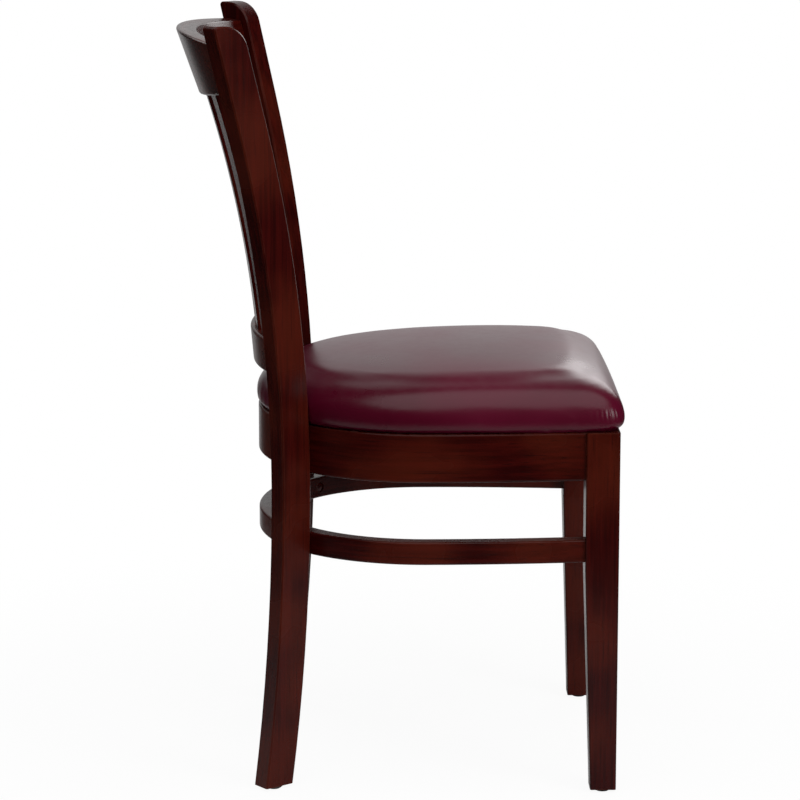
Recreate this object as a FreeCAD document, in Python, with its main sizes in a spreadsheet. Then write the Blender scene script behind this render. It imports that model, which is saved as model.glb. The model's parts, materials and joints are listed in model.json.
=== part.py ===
"""Slat back restaurant chair: bent-ring wooden frame, slatted back and a padded seat.

Millimetres. The origin is on the floor, midway across and midway between the foremost and the
rearmost point. +Z is up, the sitter faces -Y, and the sitter's left side is +X.
"""
import FreeCAD, Part
import math
import os
import re

import Sketcher
from FreeCAD import Placement, Rotation, Vector

doc = FreeCAD.newDocument("slat_back_chair")

# Driving sizes: millimetres and degrees
SIZES = {
    "ring_width": 421, "side_bow": 10, "ring_inset": 4, "ring_thickness": 20,
    "seat_depth": 409, "widest_setback": 215, "rear_arc_angle": 24.8, "ring_round": 2.5,
    "apron_top": 418, "apron_height": 55, "stretcher_top": 295, "stretcher_height": 26,
    "leg_size": 38, "foot_size": 29.5, "taper_drop": 8, "leg_round": 2.5, "rail_inset": 4,
    "total_height": 870, "straight_top": 110, "knee_below": 68, "bend_radius": 1500,
    "foot_radius": 2240, "stile_depth": 39, "foot_depth": 38, "stile_thickness": 24,
    "stile_top_radius": 32, "stile_rear_radius": 4, "stile_bevel": 1.5, "housing_depth": 2.5,
    "foot_spare": 20,
    "stile_angle": 38, "stile_seat_angle": 42.4,
    "crest_drop": 12.5, "crest_height": 81, "crest_thickness": 21, "crest_radius": 530,
    "crest_lean": 19.5, "crest_slope": 8, "crest_inset": 5, "crest_round": 2.5,
    "lower_rise": 94, "lower_height": 42, "lower_thickness": 20, "lower_radius": 400,
    "lower_lean": 5, "lower_slope": 0, "lower_inset": 16, "lower_round": 3,
    "rail_spare": 6,
    "slat_count": 5, "slat_width": 30, "slat_thickness": 8, "slat_bow": 7, "slat_round": 1.5,
    "slat_pitch_top": 62, "slat_pitch_low": 49, "slat_tenon": 12,
    "dowel_diameter": 8, "dowel_length": 32, "dowel_spacing": 26, "lower_dowel_spacing": 20,
    "crest_dowel_spacing": 28, "joint_clearance": 0.15, "dowel_end_gap": 1,
    "leg_screw_diameter": 6, "leg_screw_length": 40, "leg_screw_recess": 6, "leg_screw_spacing": 24,
    "block_screw_diameter": 4, "block_screw_length": 26, "block_bearing": 10,
    "seat_screw_diameter": 5, "seat_screw_length": 40, "board_bite": 9,
    "head_ratio": 1.9, "head_height": 3, "head_clearance": 0.5,
    "block_height": 34, "block_gap": 2, "block_reach": 52, "block_screw_inset": 30,
    "block_screw_spacing": 14, "seat_screw_inset": 11, "head_bore": 30,
    "rear_block_width": 50, "rear_block_depth": 26, "rear_block_angle": 66,
    "rear_block_screw_spacing": 30,
    "cushion_overhang": 6, "cushion_side": 3, "cushion_corner": 30, "cushion_bulge": 13,
    "cushion_crown": 70, "cover_skin": 1.5, "soft_clearance": 0.3, "foam_clearance": 1.2,
    "cushion_tuck": 0.975,
    "crown_power": 2.5, "crown_fullness": 3.3,
    "board_thickness": 12, "board_scale": 0.955, "staple_margin": 1.6, "hem_margin": 3,
    "dust_cover_thickness": 0.6, "staple_count": 20, "staple_crown": 10, "staple_wire": 1,
    "staple_leg": 6, "glide_height": 4, "glide_diameter": 20, "glide_sole": 15,
    "glide_nail": 2.5, "glide_nail_length": 18,
}

# Sizes that follow from the driving ones; setbacks are measured from the front legs' front faces
FORMULAS = {
    "half_ring": "ring_width / 2",
    "half_front": "half_ring - side_bow",
    "leg_outer": "half_front + ring_inset",
    "leg_inner": "leg_outer - leg_size",
    "rear_half": "seat_depth - widest_setback",
    "arc_difference": "(half_ring - rear_half) / (sin(rear_arc_angle) + cos(rear_arc_angle) - 1)",
    "corner_radius": "half_ring - arc_difference * sin(rear_arc_angle)",
    "rear_radius": "corner_radius + arc_difference",
    "side_length": "widest_setback - leg_size",
    "side_radius": "(side_length ^ 2 + side_bow ^ 2) / (2 * side_bow)",
    "ring_end_inner": "half_ring - side_radius"
                      " + sqrt((side_radius - ring_thickness) ^ 2 - side_length ^ 2)",
    "ring_end_middle": "(half_front + ring_end_inner) / 2",
    # The rear legs: distance outwards from the ring, measured along the plank
    "knee_height": "apron_top - knee_below",
    "outer_knee": "stile_depth - housing_depth",
    "bend_end": "total_height - straight_top",
    "bend_run": "bend_end - knee_height",
    "bend_offset": "bend_radius - sqrt(bend_radius ^ 2 - bend_run ^ 2)",
    "bend_slope": "bend_run / sqrt(bend_radius ^ 2 - bend_run ^ 2)",
    "top_offset": "bend_offset + straight_top * bend_slope",
    "foot_run": "knee_height - glide_height",
    "foot_offset": "foot_radius - sqrt(foot_radius ^ 2 - foot_run ^ 2)",
    "inner_foot_offset": "foot_offset + stile_depth - foot_depth",
    "inner_foot_radius": "(foot_run ^ 2 + inner_foot_offset ^ 2) / (2 * inner_foot_offset)",
    "blank_foot": "glide_height - foot_spare",
    "blank_foot_run": "foot_run + foot_spare",
    "mount_x": "half_ring - corner_radius + corner_radius * sin(stile_seat_angle)",
    "mount_setback": "widest_setback + corner_radius * cos(stile_seat_angle)",
    "joint_x": "mount_x - stile_thickness / 2 * cos(stile_angle)",
    "joint_setback": "mount_setback + stile_thickness / 2 * sin(stile_angle)",
    # The back rails: where each rear edge meets the stile, and so how far back its middle lies
    "crest_z": "total_height - crest_drop",
    "crest_reach": "outer_knee + bend_offset + (crest_z - bend_end) * bend_slope - crest_inset",
    "crest_end_x": "joint_x + crest_reach * sin(stile_angle)",
    "crest_sag": "(crest_radius - sqrt(crest_radius ^ 2 - crest_end_x ^ 2)) / cos(crest_lean)",
    "crest_setback": "joint_setback + crest_reach * cos(stile_angle) + crest_sag",
    "lower_z": "apron_top + lower_rise",
    "lower_reach": "outer_knee + bend_radius - sqrt(bend_radius ^ 2 - (lower_z - knee_height) ^ 2)"
                   " - lower_inset",
    "lower_end_x": "joint_x + lower_reach * sin(stile_angle)",
    "lower_sag": "(lower_radius - sqrt(lower_radius ^ 2 - lower_end_x ^ 2)) / cos(lower_lean)",
    "lower_setback": "joint_setback + lower_reach * cos(stile_angle) + lower_sag",
    "blank_half": "crest_end_x + stile_thickness",
    # The middle of the overall depth is the origin; the crest rail's rounded edge is the rearmost
    "crest_rounding": "crest_round * ((cos(crest_slope) + sin(crest_lean))"
                      " / cos(crest_lean + crest_slope) - 1)",
    "front_y": "(cushion_overhang + crest_rounding - crest_setback) / 2",
    "leg_rear_y": "front_y + leg_size",
    "widest_y": "front_y + widest_setback",
    "ring_rear_y": "front_y + seat_depth",
    "crest_y": "front_y + crest_setback",
    "lower_y": "front_y + lower_setback",
    "rail_front_y": "front_y + rail_inset",
    "rail_rear_y": "rail_front_y + ring_thickness",
    # The cushion's widest outline follows the ring with a small overhang
    "pad_half": "half_ring + cushion_side",
    "pad_front_half": "leg_outer + cushion_side / 2",
    "pad_front": "-widest_setback - cushion_overhang",
    "pad_rear": "rear_half + cushion_side",
    "pad_difference": "(pad_half - pad_rear) / (sin(rear_arc_angle) + cos(rear_arc_angle) - 1)",
    "pad_corner": "pad_half - pad_difference * sin(rear_arc_angle)",
    "pad_rear_radius": "pad_corner + pad_difference",
    "pad_drop": "pad_half - pad_front_half",
    "pad_side": "-pad_front - cushion_corner",
    "pad_side_radius": "(pad_side ^ 2 + pad_drop ^ 2) / (2 * pad_drop)",
    # The hem's staples stay clear of the front rail and of the front legs' inner corners
    "front_corner_x": "pad_front_half - cushion_corner",
    "front_corner_depth": "-pad_front - cushion_corner",
    "leg_corner_depth": "widest_setback - leg_size",
    "rail_scale": "(widest_setback - rail_inset - ring_thickness - staple_margin) / (-pad_front)",
    "corner_square": "front_corner_x ^ 2 + front_corner_depth ^ 2 - cushion_corner ^ 2",
    "corner_product": "front_corner_x * leg_inner + front_corner_depth * leg_corner_depth"
                      " + cushion_corner * staple_margin",
    "leg_square": "leg_inner ^ 2 + leg_corner_depth ^ 2 - staple_margin ^ 2",
    "leg_scale": "(corner_product - sqrt(corner_product ^ 2 - corner_square * leg_square)) / corner_square",
    "staple_scale": "min(rail_scale; leg_scale)",
    "hem_scale": "staple_scale - hem_margin / (-pad_front)",
    "board_z": "apron_top + cover_skin",
    "notch_reach": "-housing_depth + bend_radius - sqrt(bend_radius ^ 2 - knee_below ^ 2)",
    "ring_inside_corner": "corner_radius - ring_thickness",
    "block_inner": "ring_inside_corner - rear_block_depth",
    "block_top": "apron_top - block_gap",
    "block_bottom": "block_top - block_height",
    "seat_screw_tip": "board_z + board_bite",
}

sheet = doc.addObject("Spreadsheet::Sheet", "Sizes")
derived = doc.addObject("Spreadsheet::Sheet", "Derived")
for row, (alias, size) in enumerate(SIZES.items(), start=1):
    sheet.set(f"A{row}", alias.replace("_", " "))
    sheet.set(f"B{row}", str(size))
    sheet.setAlias(f"B{row}", alias)

NAME = re.compile(r"[a-z][a-z0-9_]*")
rows = {}
nodes = []


def bound(formula):
    """Spell a formula out in the sheets' cells."""
    def cell(match):
        word = match[0]
        if word in SIZES:
            return f"Sizes.{word}"
        return f"Derived.{word}" if word in rows else word
    return NAME.sub(cell, str(formula))


def define(name, formula):
    """Add a size that follows from others."""
    row = len(rows) + 1
    derived.set(f"A{row}", name.replace("_", " "))
    derived.set(f"B{row}", "=" + bound(formula))
    derived.setAlias(f"B{row}", name)
    rows[name] = row


def value(formula):
    """The number that a formula gives."""
    return float(sheet.evalExpression(bound(formula)))


for name, formula in FORMULAS.items():
    define(name, formula)
doc.recompute()


def bind(item, prop, formula):
    """Tie a property of an object to a formula."""
    item.setExpression(prop, bound(formula))


def keep(item, label):
    """Name a finished sub-part, which gets its own file."""
    item.Label = label
    nodes.append(item)
    return item


def new_body(name):
    return doc.addObject("PartDesign::Body", name)


def new_sketch(body, plane, height=None):
    """A sketch on one of the body's own origin planes, raised along its normal."""
    sketch = body.newObject("Sketcher::SketchObject", body.Name + "_sketch")
    support = [item for item in body.Origin.OriginFeatures if item.Role == plane][0]
    sketch.AttachmentSupport = [(support, "")]
    sketch.MapMode = "FlatFace"
    if height is not None:
        bind(sketch, "AttachmentOffset.Base.z", height)
    return sketch


def draw(sketch, corners):
    """Draw a closed outline and tie it to the sheet.

    Each corner is (x, y) or (x, y, radius) in formulas. The radius is that of the arc which leads on
    to the next corner; a minus sign turns the arc clockwise.
    """
    points = [Vector(value(corner[0]), value(corner[1]), 0) for corner in corners]
    starts = []
    for index, corner in enumerate(corners):
        start, end = points[index], points[(index + 1) % len(points)]
        if len(corner) == 2:
            sketch.addGeometry(Part.LineSegment(start, end), False)
            starts.append(1)
            continue
        radius = value(corner[2])
        half = (end - start) * 0.5
        square = Vector(-half.y, half.x, 0).normalize() * math.copysign(1, radius)
        centre = start + half + square * math.sqrt(radius ** 2 - half.Length ** 2)
        first, last = (start, end) if radius > 0 else (end, start)
        angles = [math.atan2(*(point - centre)[1::-1]) for point in (first, last)]
        circle = Part.Circle(centre, Vector(0, 0, 1), abs(radius))
        sketch.addGeometry(Part.ArcOfCircle(circle, *angles), False)
        starts.append(1 if radius > 0 else 2)
    count = len(corners)
    for index, corner in enumerate(corners):
        following = (index + 1) % count
        sketch.addConstraint(
            Sketcher.Constraint("Coincident", index, 3 - starts[index], following, starts[following]))
        for kind, formula, size in zip(("DistanceX", "DistanceY"), corner, points[index]):
            rule = sketch.addConstraint(Sketcher.Constraint(kind, index, starts[index], size))
            bind(sketch, f"Constraints[{rule}]", formula)
        if len(corner) == 3:
            rule = sketch.addConstraint(Sketcher.Constraint("Radius", index, abs(value(corner[2]))))
            bind(sketch, f"Constraints[{rule}]", f"abs({corner[2]})")


def rounded(left, front, right, rear, radius):
    """The corners of a rectangle with rounded corners."""
    return [
        (f"{left} + {radius}", front), (f"{right} - {radius}", front, radius),
        (right, f"{front} + {radius}"), (right, f"{rear} - {radius}", radius),
        (f"{right} - {radius}", rear), (f"{left} + {radius}", rear, radius),
        (left, f"{rear} - {radius}"), (left, f"{front} + {radius}", radius),
    ]


def pad(body, corners, length, plane="XY_Plane", height=None, middle=False):
    """Pad an outline away from its plane or to both sides of it."""
    sketch = new_sketch(body, plane, height)
    draw(sketch, corners)
    feature = body.newObject("PartDesign::Pad", body.Name + "_pad")
    feature.Profile = sketch
    feature.SideType = "Symmetric" if middle else "One side"
    bind(feature, "Length", length)
    doc.recompute()
    return feature


def loft(body, outlines, ruled):
    """Loft through outlines given as (height, corners), from the lowest up."""
    sketches = []
    for height, corners in outlines:
        sketch = new_sketch(body, "XY_Plane", height)
        draw(sketch, corners)
        sketches.append(sketch)
    feature = body.newObject("PartDesign::AdditiveLoft", body.Name + "_loft")
    feature.Profile = sketches[0]
    feature.Sections = sketches[1:]
    feature.Ruled = ruled
    doc.recompute()
    return feature


def ease_edges(body, feature, kind, size, wanted):
    """Fillet or chamfer the edges that a test on the edge picks out."""
    names = [f"Edge{index}" for index, edge in enumerate(feature.Shape.Edges, start=1) if wanted(edge)]
    eased = body.newObject(f"PartDesign::{kind}", body.Name + "_eased")
    eased.Base = (feature, names)
    bind(eased, "Radius" if kind == "Fillet" else "Size", size)
    doc.recompute()
    return eased


def round_edges(body, feature, radius, wanted):
    return ease_edges(body, feature, "Fillet", radius, wanted)


def long_edge(edge):
    """Whether an edge is a curve at one height, as along the top or bottom of a bent board."""
    return edge.BoundBox.ZLength < 0.001 and edge.Curve.TypeId != "Part::GeomLine"


def revolved(name, corners):
    """A turned piece about Z from its half profile in (radius, height)."""
    body = new_body(name)
    sketch = new_sketch(body, "XZ_Plane")
    draw(sketch, corners)
    feature = body.newObject("PartDesign::Revolution", name + "_turn")
    feature.Profile = sketch
    feature.ReferenceAxis = (sketch, ["V_Axis"])
    feature.Angle = 360
    doc.recompute()
    return body


def cylinder(diameter, length, start, direction):
    """A round tool or pin from a point along a direction."""
    item = doc.addObject("Part::Cylinder", "round")
    bind(item, "Radius", f"({diameter}) / 2")
    bind(item, "Height", length)
    item.Placement = Placement(start, Rotation(Vector(0, 0, 1), direction))
    return item


def box(length, width, height, placement):
    """A box from its own corner, placed in the chair."""
    item = doc.addObject("Part::Box", "block")
    for prop, formula in zip(("Length", "Width", "Height"), (length, width, height)):
        bind(item, prop, formula)
    item.Placement = placement
    return item


def group(items, name="group"):
    item = doc.addObject("Part::Compound", name)
    item.Links = items
    return item


def cut(base, tools, name="cut"):
    """The base with every tool taken out of it."""
    item = doc.addObject("Part::Cut", name)
    item.Base = base
    item.Tool = tools[0] if len(tools) == 1 else group(tools)
    doc.recompute()
    return item


def copies(pattern, places, label):
    """One node of separate equal solids."""
    links = []
    for place in places:
        link = doc.addObject("App::Link", label + "_link")
        link.LinkedObject = pattern
        link.LinkPlacement = place
        links.append(link)
    keep(group(links, label), label)
    doc.recompute()


def facing(direction, start):
    """A placement whose Z runs along a direction."""
    return Placement(start, Rotation(Vector(0, 0, 1), direction))


# Directions at each rear leg: outwards along the plank, and from it towards the chair's middle
def outward(side):
    angle = math.radians(value("stile_angle"))
    return Vector(side * math.sin(angle), math.cos(angle), 0)


def inward(side):
    angle = math.radians(value("stile_angle"))
    return Vector(-side * math.cos(angle), math.sin(angle), 0)


def stile_frame(side):
    """Local X runs outwards along the plank, Z up, from where its middle meets the ring."""
    start = Vector(side * value("mount_x"), value("front_y + mount_setback"), 0)
    return Placement(start, Rotation(Vector(0, 0, 1), 90 - side * value("stile_angle")))


def at(x, y, z):
    return Vector(value(x), value(y), value(z))


# Wooden rings: the seat apron and the stretcher share one plan
def ring_corners():
    """The bent ring's plan: side, corner and rear arcs outside, and the same arcs inside."""
    rear_sine, rear_cosine = "sin(rear_arc_angle)", "cos(rear_arc_angle)"
    def tangent(radius):
        return f"({radius}) * {rear_sine}", f"ring_rear_y - rear_radius + ({radius}) * {rear_cosine}"
    inner = "rear_radius - ring_thickness"
    outside = [
        ("half_front", "leg_rear_y", "side_radius"),
        ("half_ring", "widest_y", "corner_radius"),
        (*tangent("rear_radius"), "rear_radius"),
        (f"-({tangent('rear_radius')[0]})", tangent("rear_radius")[1], "corner_radius"),
        ("-half_ring", "widest_y", "side_radius"),
        ("-half_front", "leg_rear_y"),
    ]
    inside = [
        ("-ring_end_inner", "leg_rear_y", "-(side_radius - ring_thickness)"),
        ("-(half_ring - ring_thickness)", "widest_y", "-(corner_radius - ring_thickness)"),
        (f"-({tangent(inner)[0]})", tangent(inner)[1], f"-({inner})"),
        (*tangent(inner), "-(corner_radius - ring_thickness)"),
        ("half_ring - ring_thickness", "widest_y", "-(side_radius - ring_thickness)"),
        ("ring_end_inner", "leg_rear_y"),
    ]
    return outside + inside


def ring(name, height, bottom):
    body = new_body(name)
    feature = pad(body, ring_corners(), height, height=bottom)
    round_edges(body, feature, "ring_round", long_edge)
    return body


def ring_middle(side, z):
    """Where a ring's end meets a front leg, at mid thickness."""
    return Vector(side * value("ring_end_middle"), value("leg_rear_y"), value(z))


SIDES = {1: "left", -1: "right"}
apron_blank = ring("apron_blank", "apron_height", "apron_top - apron_height")
stretcher_blank = ring("stretcher_blank", "stretcher_height", "stretcher_top - stretcher_height")

# Legs
def front_leg(side):
    """A square post, plumb outside and in front, tapering to the foot on its other two faces."""
    body = new_body("front_leg_blank")

    def section(size):
        inner = f"leg_outer - {size}"
        low, high = (inner, "leg_outer") if side > 0 else ("-leg_outer", f"-({inner})")
        return rounded(low, "front_y", high, f"front_y + {size}", "leg_round")

    loft(body, [
        ("glide_height", section("foot_size")),
        ("stretcher_top - stretcher_height - taper_drop", section("leg_size")),
        ("apron_top", section("leg_size")),
    ], ruled=True)
    return body


def rear_leg(side):
    """A curved plank: sabre foot below the knee, bent back above it, straight at the top.

    It starts below the floor and is sawn off level afterwards.
    """
    body = new_body("rear_leg_blank")
    inner = "-housing_depth"

    def foot(radius):
        return f"{radius} - sqrt({radius} ^ 2 - blank_foot_run ^ 2)"

    feature = pad(body, [
        (f"{inner} + {foot('inner_foot_radius')}", "blank_foot"),
        (f"outer_knee + {foot('foot_radius')}", "blank_foot", "-foot_radius"),
        ("outer_knee", "knee_height", "-bend_radius"),
        ("outer_knee + bend_offset", "bend_end"),
        ("outer_knee + top_offset", "total_height"),
        (f"{inner} + top_offset", "total_height"),
        (f"{inner} + bend_offset", "bend_end", "bend_radius"),
        (inner, "knee_height", "inner_foot_radius"),
    ], "stile_thickness", plane="XZ_Plane", middle=True)
    top = value("total_height")
    for radius, corner in (("stile_top_radius", inner), ("stile_rear_radius", "outer_knee")):
        reach = value(f"{corner} + top_offset")
        feature = round_edges(body, feature, radius, lambda edge: (
            edge.BoundBox.ZMin > top - 1 and abs(edge.CenterOfMass.x - reach) < 1))
    foot_end = value("blank_foot")
    ease_edges(body, feature, "Chamfer", "stile_bevel", lambda edge: (
        edge.BoundBox.YLength < 0.001 and edge.BoundBox.ZMax > foot_end + 1))
    body.Placement = stile_frame(side)
    return body


def below_foot(side):
    """What is sawn off the foot of a rear leg."""
    corner = at("-stile_depth", "-stile_thickness", "glide_height - 2 * foot_spare")
    return box("4 * stile_depth", "2 * stile_thickness", "2 * foot_spare",
               stile_frame(side).multiply(Placement(corner, Rotation())))


front_blanks = {side: front_leg(side) for side in SIDES}
rear_blanks = {side: rear_leg(side) for side in SIDES}


# Back rails: bent boards that lean to the rear, their tops trimmed to a slope; blanks first
def rail_blank(kind):
    """A board bent to a plan radius; its own origin is the middle of its rear top edge."""
    body = new_body(kind + "_rail_blank")
    outer, inner = f"{kind}_radius", f"({kind}_radius - {kind}_thickness)"
    rear, front = (f"sqrt({radius} ^ 2 - blank_half ^ 2) - {outer}" for radius in (outer, inner))
    pad(body, [
        ("blank_half", rear, outer),
        ("-blank_half", rear),
        ("-blank_half", front, f"-{inner}"),
        ("blank_half", front),
    ], f"{kind}_height + rail_spare", height=f"-{kind}_height")
    trim = new_sketch(body, "YZ_Plane")
    draw(trim, [
        (f"{front} - rail_spare", f"({front} - rail_spare) * tan({kind}_lean + {kind}_slope)"),
        ("rail_spare", f"rail_spare * tan({kind}_lean + {kind}_slope)"),
        ("rail_spare", "2 * rail_spare"),
        (f"{front} - rail_spare", "2 * rail_spare"),
    ])
    feature = body.newObject("PartDesign::Pocket", body.Name + "_trim")
    feature.Profile = trim
    feature.SideType = "Symmetric"
    bind(feature, "Length", "4 * blank_half")
    doc.recompute()
    half = value("blank_half")
    round_edges(body, feature, f"{kind}_round", lambda edge: edge.Length > half)
    body.Placement = rail_frame(kind)
    return body


def rail_frame(kind):
    """Where a back rail stands: its origin on the top's rear edge, leaning about X."""
    lean = Rotation(Vector(1, 0, 0), -value(f"{kind}_lean"))
    return Placement(at("0", f"{kind}_y", f"{kind}_z"), lean)


def rail_end(kind, rise, side):
    """The middle of a rail's end on the stile's face, or a rise above it along the lean."""
    frame = rail_frame(kind)
    face = stile_frame(side).multVec(Vector(0, side * value("stile_thickness / 2"), 0))
    radius = value(f"{kind}_radius")
    middle = value(f"{kind}_radius - {kind}_thickness / 2")
    trimmed = value(f"({kind}_sag + {kind}_thickness / 2) * tan({kind}_lean + {kind}_slope)")
    height = rise - (value(f"{kind}_height") + trimmed) / 2
    near, far = 0.0, math.pi / 2
    for _ in range(50):
        angle = (near + far) / 2
        point = frame.multVec(
            Vector(side * middle * math.sin(angle), middle * math.cos(angle) - radius, height))
        if (point - face).dot(inward(side)) > 0:
            near = angle
        else:
            far = angle
    return point


def beyond_stile(side):
    """Everything on the far side of the face where the back rails meet a stile."""
    span = value("ring_width")
    edge = value("stile_thickness / 2")
    corner = Vector(-span, edge - span if side > 0 else -edge, value("apron_top"))
    place = stile_frame(side).multiply(Placement(corner, Rotation()))
    return box("2 * ring_width", "ring_width", "total_height", place)


rail_blanks = {kind: rail_blank(kind) for kind in ("crest", "lower")}


# Slats: bowed strips whose tenons enter both back rails
def rail_middle(kind, offset):
    """A formula for how far the middle of a rail's thickness lies before its rear, at an offset."""
    return f"(sqrt(({kind}_radius - {kind}_thickness / 2) ^ 2 - {offset} ^ 2) - {kind}_radius)"


def slat_frame(number, step):
    """Local Z runs from the lower rail to the crest rail, Y to the rear."""
    low, high = (f"({step} * slat_pitch_{end})" for end in ("low", "top"))
    low_y, low_z = f"lower_y + {rail_middle('lower', low)} / cos(lower_lean)", "lower_z"
    depth = rail_middle("crest", high)
    top_y = f"crest_y + {depth} * cos(crest_lean) - crest_height * sin(crest_lean)"
    top_z = f"crest_z - {depth} * sin(crest_lean) - crest_height * cos(crest_lean)"
    define(f"slat_chord_{number}", f"sqrt(({high} - {low}) ^ 2 + ({top_y} - ({low_y})) ^ 2"
                                   f" + ({top_z} - ({low_z})) ^ 2)")
    define(f"slat_radius_{number}", f"(slat_chord_{number} ^ 2 / 4 + slat_bow ^ 2) / (2 * slat_bow)")
    define(f"slat_sine_{number}", f"(slat_chord_{number} / 2 + slat_tenon) / slat_radius_{number}")
    define(f"slat_cosine_{number}", f"sqrt(1 - slat_sine_{number} ^ 2)")
    doc.recompute()
    start, end = at(low, low_y, low_z), at(high, top_y, top_z)
    turn = value(low) / value("lower_radius") + value(high) / value("crest_radius")
    rear = Vector(math.sin(turn / 2), math.cos(turn / 2), 0)
    along = (end - start).normalize()
    rear = (rear - along * rear.dot(along)).normalize()
    return Placement(start, Rotation(rear.cross(along), rear, along, "ZYX"))


def slat(number, frame, growth):
    """A bowed strip; the growth all round turns it into the cutter of its own mortises."""
    body = new_body(f"slat_{number}")
    radius = f"slat_radius_{number}"
    half = f"(slat_thickness / 2 + {growth})"

    def corner(reach, sign):
        return (f"{radius} - slat_bow - {reach} * slat_cosine_{number}",
                f"slat_chord_{number} / 2 + {sign} * {reach} * slat_sine_{number}")

    front, rear = f"({radius} + {half})", f"({radius} - {half})"
    feature = pad(body, [
        corner(front, -1),
        (*corner(rear, -1), f"-{rear}"),
        corner(rear, 1),
        (*corner(front, 1), front),
    ], f"slat_width + 2 * {growth}", plane="YZ_Plane", middle=True)
    shortest = value("slat_chord_1") / 2
    round_edges(body, feature, "slat_round", lambda edge: edge.Length > shortest)
    body.Placement = frame
    return body


middle_slat = (value("slat_count") + 1) / 2
mortises = []
for number in range(1, int(value("slat_count")) + 1):
    frame = slat_frame(number, number - middle_slat)
    keep(slat(number, frame, "0"), f"back_slat_{number}")
    mortises.append(slat(number, frame, "joint_clearance"))


# Dowels
def dowels(label, joints):
    """Pins across joints given as (middle point, direction); returns their holes."""
    pins, holes = [], []
    for point, direction in joints:
        start = point - direction * value("dowel_length / 2")
        pins.append(cylinder("dowel_diameter", "dowel_length", start, direction))
        start -= direction * value("dowel_end_gap")
        holes.append(cylinder("dowel_diameter + 2 * joint_clearance",
                              "dowel_length + 2 * dowel_end_gap", start, direction))
    keep(group(pins, label), label)
    return holes


def pair(spacing):
    """Two places either side of a middle."""
    return [sign * value(spacing) / 2 for sign in (-1, 1)]


REAR = Vector(0, 1, 0)
UP = Vector(0, 0, 1)
apron_middle = value("apron_top - apron_height / 2")
stretcher_middle = value("stretcher_top - stretcher_height / 2")
apron_holes = dowels("apron_dowels", [
    (ring_middle(side, apron_middle + rise), REAR) for side in SIDES for rise in pair("dowel_spacing")])
stretcher_holes = dowels("stretcher_dowels", [
    (ring_middle(side, stretcher_middle), REAR) for side in SIDES])
front_rail_holes = dowels("front_rail_dowels", [
    (Vector(side * value("leg_inner"), value("(rail_front_y + rail_rear_y) / 2"), apron_middle + rise),
     Vector(side, 0, 0)) for side in SIDES for rise in pair("dowel_spacing")])
rail_holes = {
    kind: dowels(f"{kind}_rail_dowels", [
        (rail_end(kind, rise, side), inward(side))
        for side in SIDES for rise in pair(f"{kind}_dowel_spacing")])
    for kind in ("crest", "lower")}


# Screws
def screw_pattern(name, diameter, length):
    """A pan-head screw pointing up from the seat of its head."""
    head = f"{diameter} * head_ratio / 2"
    return revolved(name, [
        ("0", "-head_height"), (head, "-head_height"), (head, "0"), (f"{diameter} / 2", "0"),
        (f"{diameter} / 2", f"{length} - {diameter}"), ("0", length)])


def screws(kind, label, seats):
    """Screws at (head seat, direction); returns their shank holes and their head bores."""
    diameter, length = f"{kind}_diameter", f"{kind}_length"
    pattern = screw_pattern(f"{label}_pattern", diameter, length)
    copies(pattern, [facing(direction, seat) for seat, direction in seats], label)
    shanks = [cylinder(f"{diameter} + 2 * joint_clearance", f"{length} + dowel_end_gap", seat, direction)
              for seat, direction in seats]
    bores = [cylinder(f"{diameter} * head_ratio + 2 * head_clearance", "head_bore", seat, -direction)
             for seat, direction in seats]
    return shanks, bores


def stile_seat(side, z):
    """The seat of a screw head inside a ring, behind a rear leg."""
    start = stile_frame(side).multVec(Vector(0, 0, z))
    return start - outward(side) * value("ring_thickness - leg_screw_recess"), outward(side)


apron_screw_holes, apron_screw_bores = screws("leg_screw", "apron_leg_screws", [
    stile_seat(side, apron_middle + rise) for side in SIDES for rise in pair("leg_screw_spacing")])
stretcher_screw_holes, stretcher_screw_bores = screws("leg_screw", "stretcher_leg_screws", [
    stile_seat(side, stretcher_middle) for side in SIDES])


# Seat blocks inside the apron: two in the front corners, two behind
def ring_inside(y):
    """A formula for the half width inside the apron's side, at a Y."""
    return ("(half_ring - side_radius"
            f" + sqrt((side_radius - ring_thickness) ^ 2 - (widest_y - ({y})) ^ 2))")


def front_block(side):
    """A triangle across the corner, notched round the leg."""
    body = new_body("front_block_blank")
    gap = "joint_clearance"
    end_y = "leg_rear_y + block_reach"
    corners = [
        ("leg_inner - block_reach", f"rail_rear_y + {gap}"),
        (f"leg_inner - {gap}", f"rail_rear_y + {gap}"),
        (f"leg_inner - {gap}", f"leg_rear_y + {gap}"),
        (f"ring_end_inner - {gap}", f"leg_rear_y + {gap}"),
        (f"{ring_inside(end_y)} - {gap}", end_y),
    ]
    pad(body, [(f"{side} * ({x})", y) for x, y in corners], "block_height", height="block_bottom")
    return body


def rear_direction(side):
    angle = math.radians(value("rear_block_angle"))
    return Vector(side * math.sin(angle), math.cos(angle), 0)


def corner_centre(side, z):
    """The centre of a ring's corner arc."""
    return Vector(side * value("half_ring - corner_radius"), value("widest_y"), z)


def rear_place(side, reach, across, z):
    """A point in a rear block: outwards from the corner's centre, and across."""
    direction = rear_direction(side)
    return corner_centre(side, z) + direction * reach + UP.cross(direction) * across


def rear_block(side):
    """A block whose back is rounded to the ring's inner face."""
    bottom = value("block_bottom")
    turn = Rotation(UP, 90 - side * value("rear_block_angle"))
    corner = rear_place(side, value("block_inner"), -value("rear_block_width / 2"), bottom)
    blank = box("2 * rear_block_depth", "rear_block_width", "block_height", Placement(corner, turn))
    inside = cylinder("2 * (ring_inside_corner - joint_clearance)", "block_height",
                      corner_centre(side, bottom), UP)
    item = doc.addObject("Part::Common", "rear_block_blank")
    item.Base, item.Tool = blank, inside
    return item


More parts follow.
